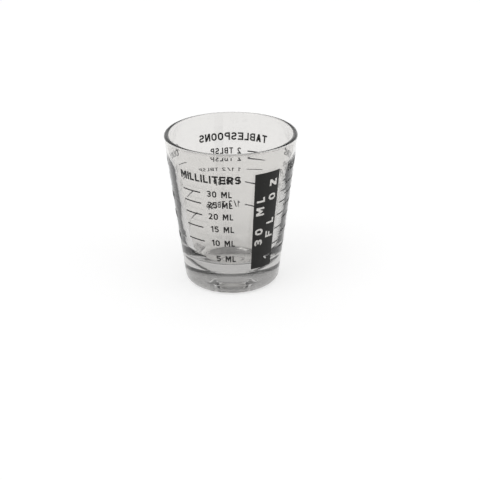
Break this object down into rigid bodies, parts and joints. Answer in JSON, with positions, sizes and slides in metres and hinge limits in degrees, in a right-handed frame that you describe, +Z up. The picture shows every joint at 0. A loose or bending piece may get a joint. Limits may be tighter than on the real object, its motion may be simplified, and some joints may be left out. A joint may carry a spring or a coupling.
{
  "type": "measuring glass",
  "caption": "Small tapered cup of clear pressed glass with a thick bottom, printed in black enamel with liquid measuring scales and a lettered panel.",
  "frame": {"origin": "centre of the foot, on the plane that the glass stands on", "axes": "+Z up along the axis of the glass, -Y is the front, where the millilitre scale and the panel show, +X is to the right of it"},
  "size_m": [0.0468, 0.0468, 0.0553],
  "materials": {
    "clear_glass": "fire-polished, clear with a faint grey tint",
    "black_enamel": "fired-on black enamel, opaque, slightly glossy"
  },
  "bodies": {
    "root": {"glass_body": "clear_glass", "label_panel": "black_enamel", "ml_lines": "black_enamel", "ml_figures": "black_enamel", "ml_heading": "black_enamel", "tsp_lines": "black_enamel", "tsp_figures": "black_enamel", "tsp_heading": "black_enamel", "tbsp_lines": "black_enamel", "tbsp_figures": "black_enamel", "tbsp_heading": "black_enamel", "oz_lines": "black_enamel", "oz_figures": "black_enamel", "oz_heading": "black_enamel"}
  },
  "joints": []
}
